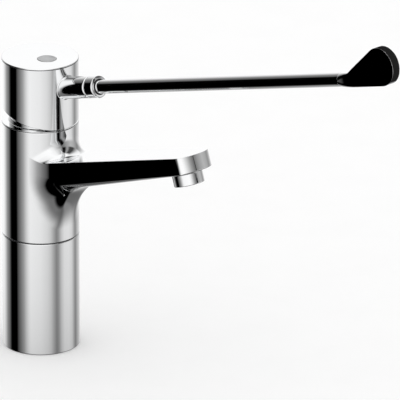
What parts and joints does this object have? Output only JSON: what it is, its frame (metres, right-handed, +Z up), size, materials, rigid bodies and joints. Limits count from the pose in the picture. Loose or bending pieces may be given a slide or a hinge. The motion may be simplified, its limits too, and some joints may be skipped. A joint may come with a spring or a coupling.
{
  "type": "elbow lever tap",
  "caption": "Deck-mounted chrome mixer tap with a swivelling rising spout and a long lift-and-turn elbow lever that ends in a flat upright paddle.",
  "frame": {"origin": "the column's axis at the deck, at the mouth of the fixing stud's hole", "axes": "+Z up the column, +X along the spout and the closed lever at mid temperature, +Y to the left seen from behind the tap"},
  "size_m": [0.351, 0.05, 0.2876],
  "materials": {
    "chrome": "polished chrome plate",
    "index": "fine turned disc",
    "brass": "machined",
    "steel": "stainless",
    "rubber": "matte black",
    "bearing_plastic": "black acetal",
    "cartridge_plastic": "moulded",
    "ceramic": "lapped ceramic"
  },
  "bodies": {
    "root": {"base_column": "chrome", "base_gasket": "rubber", "inner_upright": "brass", "swivel_stop_pin": "steel", "lower_slide_bush": "bearing_plastic", "upper_slide_bush": "bearing_plastic", "lower_lip_seal": "rubber", "upper_lip_seal": "rubber", "cartridge_seals": "rubber", "cartridge_base": "cartridge_plastic", "fixed_disc": "ceramic", "cartridge_housing": "cartridge_plastic", "retaining_nut": "brass", "neck_ring": "chrome"},
    "spout": {"spout_body": "chrome", "aerator_housing": "chrome", "aerator_washer": "rubber", "aerator_insert": "cartridge_plastic", "aerator_screen": "steel"},
    "rotor": {"cartridge_rotor": "cartridge_plastic", "pivot_pin": "steel"},
    "slider": {"moving_disc": "ceramic", "disc_carrier": "cartridge_plastic"},
    "handle": {"cartridge_stem": "brass", "handle_cap": "chrome", "index_disc": "index", "grub_screw": "steel", "screw_plug": "chrome", "lever_ferrule": "chrome", "lever_rod": "chrome", "elbow_paddle": "chrome"}
  },
  "joints": [
    {"name": "spout_swivel", "type": "hinge", "parent": "root", "child": "spout", "pos_m": [0, 0, 0], "axis": [0, 0, 1], "range_deg": [-60, 60]},
    {"name": "handle_turn", "type": "hinge", "parent": "root", "child": "rotor", "pos_m": [0, 0, 0], "axis": [0, 0, 1], "range_deg": [-50, 50]},
    {"name": "handle_lift", "type": "hinge", "parent": "rotor", "child": "handle", "pos_m": [0, 0, 0.164], "axis": [0, -1, 0], "range_deg": [0, 25]},
    {"name": "disc_slide", "type": "slide", "parent": "rotor", "child": "slider", "axis": [1, 0, 0], "range_m": [0, 0.004]}
  ],
  "couplings": [
    {"joint": "disc_slide", "follows": "handle_lift", "m_per_rad": 0.0090077}
  ]
}
